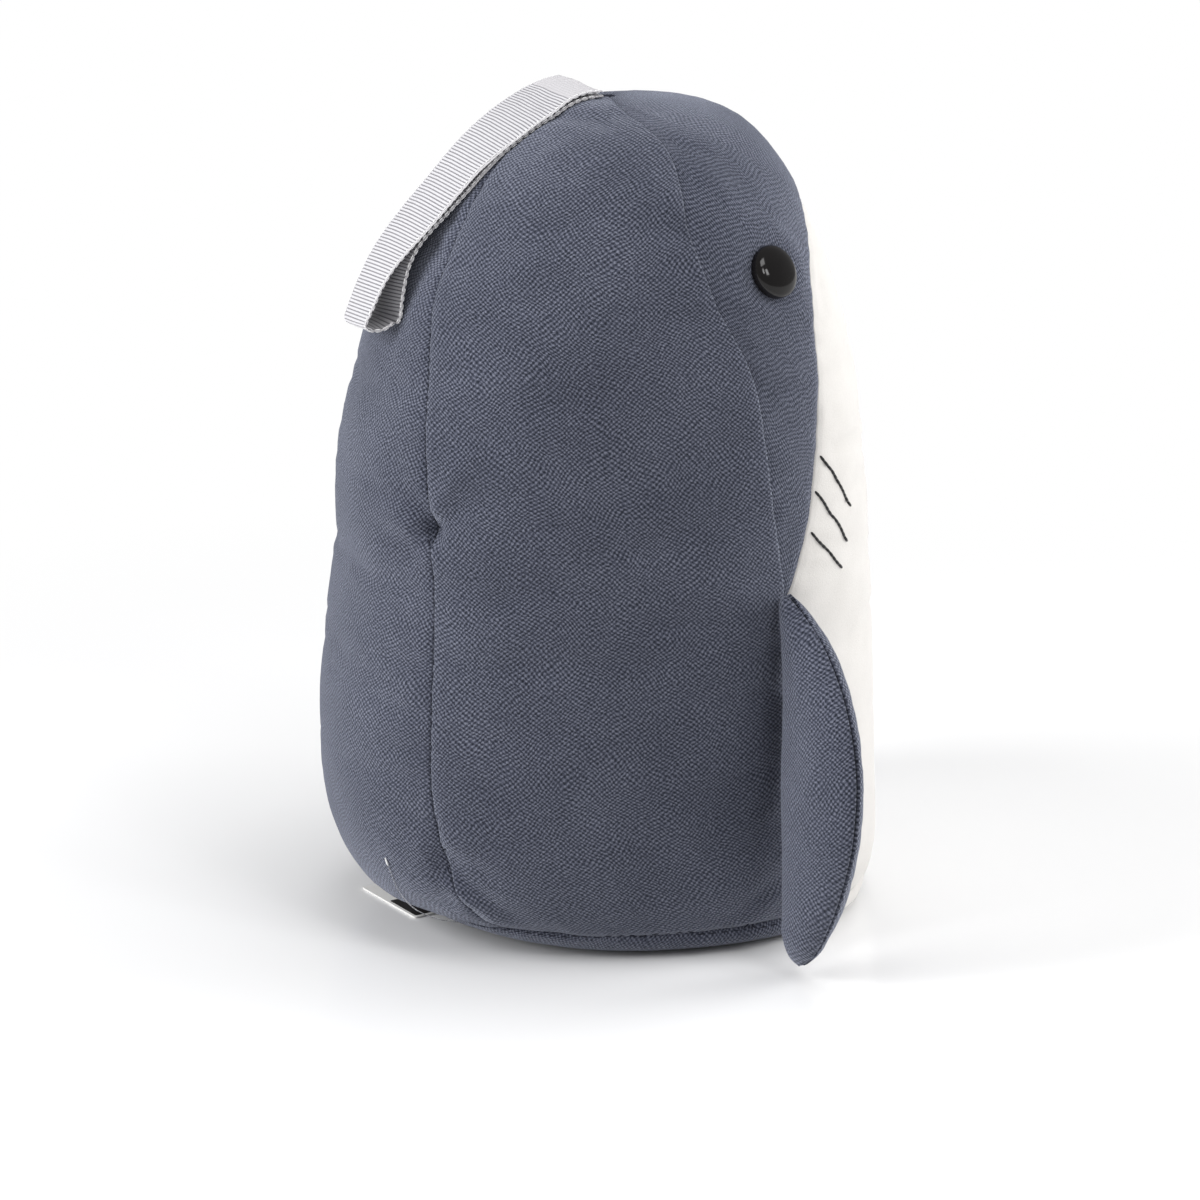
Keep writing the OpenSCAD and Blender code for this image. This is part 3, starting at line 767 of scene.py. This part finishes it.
def along_path(p, pitch, length):
    """(start, end) pairs of stitches along the points p, pitch apart."""
    run = np.concatenate([[0], np.cumsum(np.linalg.norm(np.diff(p, axis=0), axis=1))])
    at = np.arange(0, run[-1] - length, pitch)
    pick = lambda s: np.stack([np.interp(s, run, p[:, i]) for i in range(3)], -1)
    return list(zip(pick(at), pick(at + length)))


# gill lines, back-stitched into the belly on each side
GILLS = [((48.2, 7.33), (35.5, 6.61)), ((51, 6.95), (38.5, 6.28)), ((53.2, 6.52), (41, 5.97))]
for hand, m in (("right", 1), ("left", -1)):
    runs = []
    for a, b in GILLS:
        u = np.linspace(0, 1, 40)
        wander = 0.35 * np.sin(u * 11 + a[0])
        p = skin(a[0] + (b[0] - a[0]) * u, a[1] + (b[1] - a[1]) * u + wander * 0.03)
        p = on_skin(p * [m, 1, 1], 0.12)
        runs += along_path(p, 1.9, 2.5)
    beads(f"gill_thread_{hand}", runs, 0.46, THREAD, "body",
          [f"gill_stitches_{hand}"])

# thread along the seams, low in their grooves
ring = np.arange(-rim.min(), 360 + rim.min(), 1.0)
runs = along_path(on_skin(skin(ring, BASE_T), -0.05), 3.4, 2.0)
for path in (BACK_SEAM, SIDE_LOW):
    fine = spline(path, 120)
    for m in (1, -1):
        runs += along_path(on_skin(skin(m * fine[:, 0], fine[:, 1]), -0.12), 3.4, 1.7)
beads("seam_stitches", runs, 0.22, SEAM, "body")

# closing stitch at the crown
hub = on_skin([[0, -3, 231]], 0.1)[0]
spokes = [(hub + [0.3 * math.cos(w), 0.3 * math.sin(w), 0.25],
           hub + [2.3 * math.cos(w), 2.3 * math.sin(w), 0.02])
          for w in np.radians(np.arange(0, 360, 45))]
beads("crown_knot", spokes, 0.4, SEAM, "body", ["crown_tack"])


# ---------------------------------------------------------------- eyes
def lathe(profile, centre, axis, n=96):
    """Points and faces of a profile of (radius, height) pairs turned round an axis."""
    axis = unit(np.asarray(axis, float))
    side = unit(np.cross(axis, [0, 0, 1.0]))
    up = np.cross(axis, side)
    w = np.linspace(0, 2 * np.pi, n, endpoint=False)
    rings = [centre + axis * h + r * (np.cos(w)[:, None] * side + np.sin(w)[:, None] * up)
             for r, h in profile]
    f = [[i * n + j, i * n + (j + 1) % n, (i + 1) * n + (j + 1) % n, (i + 1) * n + j]
         for i in range(len(rings) - 1) for j in range(n)]
    f += [list(range(n))[::-1], list(range((len(rings) - 1) * n, len(rings) * n))]
    return np.vstack(rings), f


EYE_R, WALL, DOME = 7.35, 0.8, 2.8
EYE_WAY = unit(out(*EYE_AT) + [0, -0.09, 0.12])
dome = [(EYE_R * math.cos(w), WALL + 0.25 + DOME * math.sin(w))
        for w in np.radians(np.arange(6, 90, 4))]
EYE_SHAPE = ([(1.9, -9), (1.9, -0.9), (6.6, -0.9), (7.2, -0.7), (EYE_R, -0.3), (EYE_R + 0.02, 0.6),
              (EYE_R, WALL - 0.1), (EYE_R - 0.02, WALL + 0.1)]
             + dome + [(0.02, WALL + 0.25 + DOME)])
for hand, m in (("right", 1), ("left", -1)):
    v, f = lathe(EYE_SHAPE, eye_place * [m, 1, 1], EYE_WAY * [m, 1, 1])
    o = piece(f"eye_button_{hand}", v, f, EYE, "body", [f"eye_{hand}"])
    crease_edges = o.modifiers.new("edges", "BEVEL")
    crease_edges.width, crease_edges.segments, crease_edges.limit_method = 0.15 * MM, 2, "ANGLE"


# ---------------------------------------------------------------- ribbon loop
t = np.linspace(0, 1, 240)
low = soft_path(RIB, t)
tangent = unit(np.gradient(low, axis=0))
up2 = np.stack([-tangent[:, 1], tangent[:, 0]], -1)
RIB_OFF_SKIN = 0.5
low_line = low + up2 * (RIB_OFF_SKIN + 0.45)
w = np.array([-1, -0.985, -0.95, -0.9, -0.8, -0.6, -0.35, 0, 0.35, 0.6, 0.8, 0.9, 0.95, 0.985, 1])


def smooth_step(u):
    """0 to 1 with a gentle start and end."""
    u = np.clip(u, 0, 1)
    return u * u * (3 - 2 * u)


def ribbon_rows(line, h):
    """Points across the ribbon along a line of (y, z), raised h along its normal in y and z."""
    way = unit(np.gradient(line, axis=0))
    span = np.clip((line[:, 0] - 2.6) / 62, 0, 1)
    mid_x, skew = 6 - 16.5 * span, np.radians(23 * (1 - span))
    tilt = 1.5 * smooth_step((span - 0.4) / 0.6)[:, None] * w
    x = mid_x[:, None] + w * np.cos(skew)[:, None] * RIBBON_W / 2
    y = line[:, :1] + w * np.sin(skew)[:, None] * RIBBON_W / 2 + 0.6 * tilt
    return np.stack([x, y - way[:, 1:] * h, line[:, 1:] + way[:, :1] * h - tilt], -1)


def droop_onto_skin(line):
    """How far each ribbon point can sink along the line's normal before it meets the body."""
    way = unit(np.gradient(line, axis=0))
    sink = np.zeros((len(line), len(w)))
    for i, row in enumerate(ribbon_rows(line, np.zeros((len(line), len(w))))):
        n = Vector((0, -way[i, 1], way[i, 0]))
        for j, q in enumerate(row):
            hit = tree.ray_cast(Vector(q) + 3 * n, -n, 20)
            sink[i, j] = (hit[3] - 3 if hit[0] else 4) - 0.6
    sink = np.clip(sink, -0.5, 3.0) * np.clip(0.25 - w, 0, 1)
    for _ in range(60):
        sink = (np.pad(sink, ((1, 1), (0, 0)), "edge")[:-2] + sink * 2
                + np.pad(sink, ((1, 1), (0, 0)), "edge")[2:]) / 4
    return sink


sink = droop_onto_skin(low_line)
# towards the fold both strands leave the body, and then the lower one leaves the upper one
stand_off = 5.2 * smooth_step((t - 0.52) / 0.36)
opening = 6.0 * smooth_step((t - 0.72) / 0.3)
low_line = low_line + up2 * np.maximum(stand_off - opening, 0)[:, None]
high_line = low + up2 * (RIB_OFF_SKIN + 1.35 + 0.1 + stand_off[:, None])
hang = np.linspace(0.3, 3.0, 10)[:, None]
high_line = np.vstack([high_line, high_line[-1] + unit(high_line[-1] - high_line[-3]) * hang])
mid2, arm = (low_line[-1] + high_line[-1]) / 2, (high_line[-1] - low_line[-1]) / 2
turn = np.radians(np.arange(6, 176, 6))[:, None]
fold = mid2 + arm * np.cos(turn) + 0.7 * tangent[-1] * np.linalg.norm(arm) * np.sin(turn)
centre = np.vstack([high_line, fold, low_line[::-1]])
run = np.concatenate([[0], np.cumsum(np.linalg.norm(np.diff(centre, axis=0), axis=1))])
RIBBON_L = run[-1]
at = np.arange(0, RIBBON_L, RIB_PITCH / 5)
sink = np.vstack([sink * (1 - 0.6 * t[:, None] ** 4),
                  np.repeat(0.5 * sink[-1:], len(hang) + len(fold), 0), sink[::-1]])
sink = np.stack([np.interp(at, run, sink[:, j]) for j in range(len(w))], -1)
centre = np.stack([np.interp(at, run, centre[:, i]) for i in range(2)], -1)
centre = np.stack([np.convolve(np.pad(centre[:, i], 6, "edge"), np.ones(13) / 13, "valid")
                   for i in range(2)], -1)
over = np.where(at < RIBBON_L / 2, 1, -1)[:, None]
over = over * np.clip(np.abs(at - RIBBON_L / 2) / 6, 0, 1)[:, None]


def ribbon_side(sign):
    """Rows of one face of the ribbon, with its cross ribs and rounded edges."""
    inner = np.clip((0.93 - np.abs(w)) / 0.04, 0, 1)[None]
    plain = np.clip((at - 9) / 3, 0, 1) * np.clip((RIBBON_L - 9 - at) / 3, 0, 1)
    ribs = 0.09 * np.cos(2 * np.pi * at / RIB_PITCH)[:, None] * inner * plain[:, None]
    half = RIBBON_T / 2 * np.clip((1.0 - np.abs(w)) / 0.05, 0.25, 1)[None] - 0.08
    wavy = 0.5 * np.sin(at / 6.3 + 0.8)[:, None] * np.clip(-w, 0, 1)[None] ** 2 * (over > 0)
    return ribbon_rows(centre, sign * (half + ribs) - over * sink + wavy)


top_side, low_side = ribbon_side(1), ribbon_side(-1)
ribbon_uv = np.stack(np.broadcast_arrays(w[None] * RIBBON_W / 2, at[:, None]), -1)
rows, cols = top_side.shape[:2]
number = np.arange(rows * cols).reshape(rows, cols)
n = rows * cols
loop_rows = np.concatenate([number, number[:, ::-1] + n, number[:, :1]], axis=1)
faces_r = quads(loop_rows)
faces_r += [list(number[0]) + list(number[0][::-1] + n),
            list(number[-1][::-1]) + list(number[-1] + n)]
both_sides = np.vstack([top_side.reshape(-1, 3), low_side.reshape(-1, 3)])
ribbon = piece("ribbon_cloth", both_sides, faces_r, RIBBON, "ribbon", ["ribbon_loop"])
layer = ribbon.data.uv_layers.new(name="cloth")
both_uv = np.vstack([ribbon_uv.reshape(-1, 2)] * 2)
for loop in ribbon.data.loops:
    layer.data[loop.index].uv = both_uv[loop.vertex_index]

runs = []
for side_points in (top_side, low_side):
    for e in (2, len(w) - 3):
        edge = side_points[:, e] + 0.05 * unit(top_side[:, 7] - low_side[:, 7]) * (
            1 if side_points is top_side else -1)
        runs += along_path(edge[5:-5], 2.2, 1.5)
ribbon_stitches = beads("ribbon_stitches", runs, 0.15, STITCH, "ribbon")


# ---------------------------------------------------------------- swing tag
def card(name, length, width, thick, corner, hole, hole_r):
    """A thin card with round corners and a punched hole, its hole end at the origin."""
    c = [(corner, corner, 180), (length - corner, corner, 270),
         (length - corner, width - corner, 0), (corner, width - corner, 90)]
    outline = [(x + corner * math.cos(w), y + corner * math.sin(w))
               for x, y, a in c for w in np.radians(np.arange(a, a + 91, 15))]
    ring_pts = [(hole[0] + hole_r * math.cos(a), hole[1] + hole_r * math.sin(a))
                for a in np.linspace(0, 2 * np.pi, 28, endpoint=False)]
    bm = bmesh.new()
    edges = []
    for loop_pts in (outline, ring_pts):
        vs = [bm.verts.new((x * MM, (y - width) * MM, 0)) for x, y in loop_pts]
        edges += [bm.edges.new((vs[i], vs[(i + 1) % len(vs)])) for i in range(len(vs))]
    bmesh.ops.triangle_fill(bm, edges=edges, use_beauty=True)
    up = bmesh.ops.extrude_face_region(bm, geom=bm.faces[:])
    bmesh.ops.translate(bm, vec=(0, 0, thick * MM),
                        verts=[v for v in up["geom"] if isinstance(v, bmesh.types.BMVert)])
    bmesh.ops.recalc_face_normals(bm, faces=bm.faces)
    mesh = bpy.data.meshes.new(name)
    bm.to_mesh(mesh)
    bm.free()
    return mesh


TAG_L, TAG_W, TAG_T, TAG_HOLE_R = 29, 16, 0.5, 1.2
TAG_CORNER, TAG_TURN = (-13, 55.4, 0.05), 21.6
tag_mesh = card("tag_card", TAG_L, TAG_W, TAG_T, 1.0, (4, 4), TAG_HOLE_R)
turn_z = (Matrix.Translation(Vector(TAG_CORNER) * MM)
          @ Matrix.Rotation(math.radians(TAG_TURN), 4, "Z"))
tag_mesh.transform(turn_z)
tag_mesh.materials.append(CARD)
tag = bpy.data.objects.new("tag_paper", tag_mesh)
bpy.context.scene.collection.objects.link(tag)
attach(tag, "tag")
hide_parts("tag_card")
block = card("tag_block", 14.2, 14.2, 0.03, 0.6, (3.2, 3.1), 1.5)
block.transform(turn_z @ Matrix.Translation(Vector((0.8, -0.9, TAG_T)) * MM))
block.materials.append(INK)
ink = bpy.data.objects.new("tag_block", block)
bpy.context.scene.collection.objects.link(ink)
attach(ink, "tag")

bar = beads("tag_bar", [(PIN - [0, 0.4, 1.2], PIN + [0, 0.4, 1.2])], 0.3, NYLON, "body")
cord_line.materials.append(CLEAR)
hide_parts("tag_pin")


# ---------------------------------------------------------------- floor and light
floor_mesh = bpy.data.meshes.new("floor")
floor_mesh.from_pydata([(-6, -6, 0), (6, -6, 0), (6, 6, 0), (-6, 6, 0)], [], [(0, 1, 2, 3)])
floor = bpy.data.objects.new("floor", floor_mesh)
bpy.context.scene.collection.objects.link(floor)
mat, nodes, links, bsdf = shader("floor")
at = nodes.new("ShaderNodeTexCoord").outputs["Object"]
n = noise_node(nodes, links, at, 3, 2)
links.new(ramp(nodes, links, n.outputs["Fac"], [(0.3, (0.85, 0.85, 0.855)),
                                                (0.7, (0.87, 0.87, 0.875))]),
          bsdf.inputs["Base Color"])
bsdf.inputs["Roughness"].default_value = 0.2
glow = nodes.new("ShaderNodeEmission")
away = nodes.new("ShaderNodeVectorMath")
away.operation = "LENGTH"
links.new(at, away.inputs[0])
fade = nodes.new("ShaderNodeMapRange")
fade.interpolation_type = "SMOOTHSTEP"
fade.inputs["From Min"].default_value, fade.inputs["From Max"].default_value = 0.16, 0.42
links.new(away.outputs["Value"], fade.inputs["Value"])
blend = nodes.new("ShaderNodeMixShader")
links.new(fade.outputs[0], blend.inputs[0])
links.new(bsdf.outputs[0], blend.inputs[1])
links.new(glow.outputs[0], blend.inputs[2])
links.new(blend.outputs[0], nodes["Material Output"].inputs["Surface"])
floor_mesh.materials.append(mat)

world = bpy.data.worlds.new("studio")
bpy.context.scene.world = world
world.use_nodes = True
nodes, links = world.node_tree.nodes, world.node_tree.links
ground = nodes["Background"]
ground.inputs["Color"].default_value = (1, 1, 1, 1)
ground.inputs["Strength"].default_value = 0.325
seen = nodes.new("ShaderNodeBackground")
seen.inputs["Strength"].default_value = 1.0
pick = nodes.new("ShaderNodeMixShader")
links.new(nodes.new("ShaderNodeLightPath").outputs["Is Camera Ray"], pick.inputs[0])
links.new(ground.outputs[0], pick.inputs[1])
links.new(seen.outputs[0], pick.inputs[2])
links.new(pick.outputs[0], nodes["World Output"].inputs["Surface"])


def soft_light(name, at, look, size, watts, mirrored=False):
    """A soft box; only the mirrored ones show as highlights in glossy surfaces."""
    lamp = bpy.data.lights.new(name, "AREA")
    lamp.shape, lamp.size, lamp.size_y, lamp.energy = "RECTANGLE", *size, watts
    o = bpy.data.objects.new(name, lamp)
    bpy.context.scene.collection.objects.link(o)
    o.location = at
    o.rotation_euler = (Vector(at) - Vector(look)).to_track_quat("Z", "Y").to_euler()
    o.visible_glossy = mirrored


soft_light("front", (0.0, -1.2, 0.5), (0, 0, 0.12), (0.7, 0.9), 12.3)
soft_light("behind", (-0.1, 1.2, 0.6), (0, 0, 0.12), (0.7, 0.9), 18.3)
soft_light("top", (0.1, -0.1, 1.5), (0, 0, 0.1), (0.9, 0.9), 8.5)
soft_light("box_high", (-0.52, -0.28, 1.04), (-0.04, -0.04, 0.19), (0.4, 0.3), 2.0, True)
soft_light("box_left", (-0.81, -0.32, 0.77), (-0.04, -0.04, 0.19), (0.15, 0.2), 0.8, True)
soft_light("box_right", (-0.71, -0.57, 0.71), (-0.04, -0.04, 0.19), (0.15, 0.2), 0.8, True)

bpy.context.scene.view_settings.view_transform = "Standard"

bpy.context.view_layer.update()
